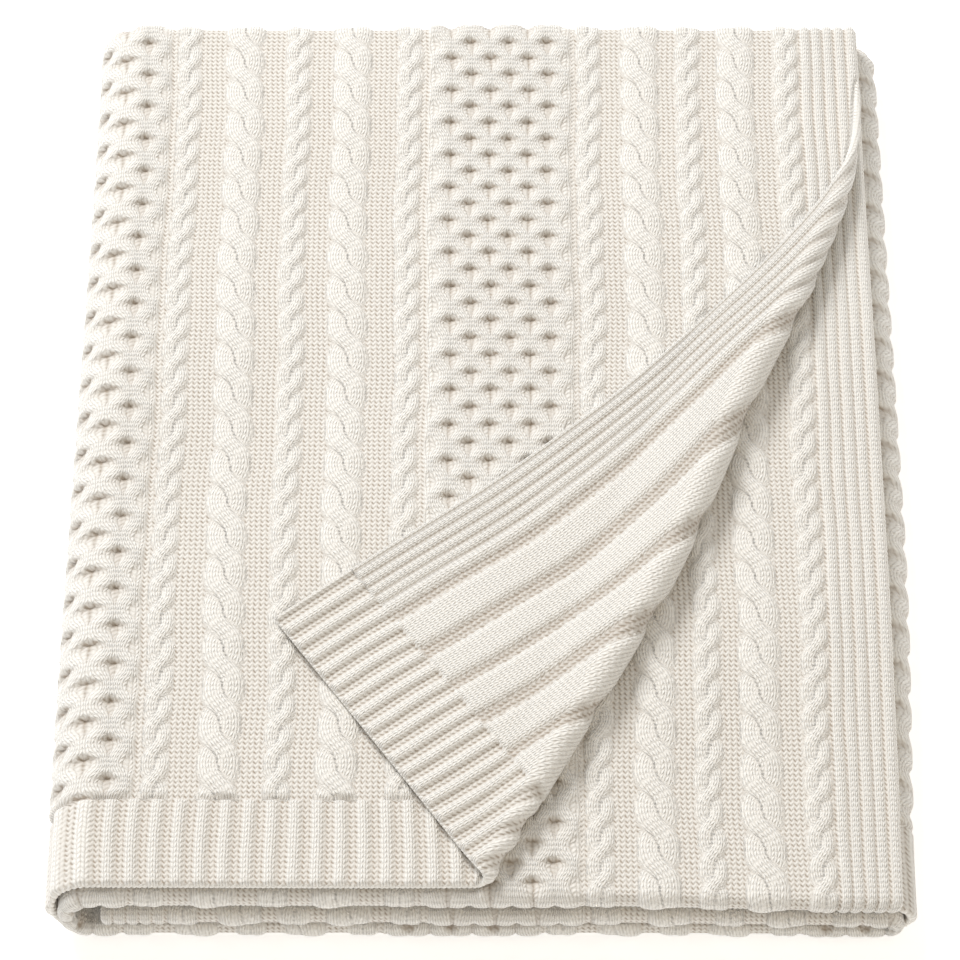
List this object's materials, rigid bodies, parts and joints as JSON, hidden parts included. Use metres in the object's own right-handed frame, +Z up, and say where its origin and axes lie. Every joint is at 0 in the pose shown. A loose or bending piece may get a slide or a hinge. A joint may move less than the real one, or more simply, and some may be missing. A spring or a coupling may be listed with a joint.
{
  "type": "folded cable knit blanket",
  "caption": "Ivory knitted throw with cables, honeycomb panels and ribbed hems, folded into a flat stack with one corner turned back.",
  "frame": {"origin": "under the middle of the folded stack, on the surface that it rests on", "axes": "+Z up through the stack, +X to the right along the visible front hem, +Y to the back edge; the turned-back corner is at the front right"},
  "size_m": [0.4494, 0.5782, 0.0603],
  "materials": {
    "ivory_yarn": "soft matt knitted yarn, warm off-white, slightly heathered"
  },
  "bodies": {
    "root": {"blanket": "ivory_yarn"}
  },
  "joints": []
}
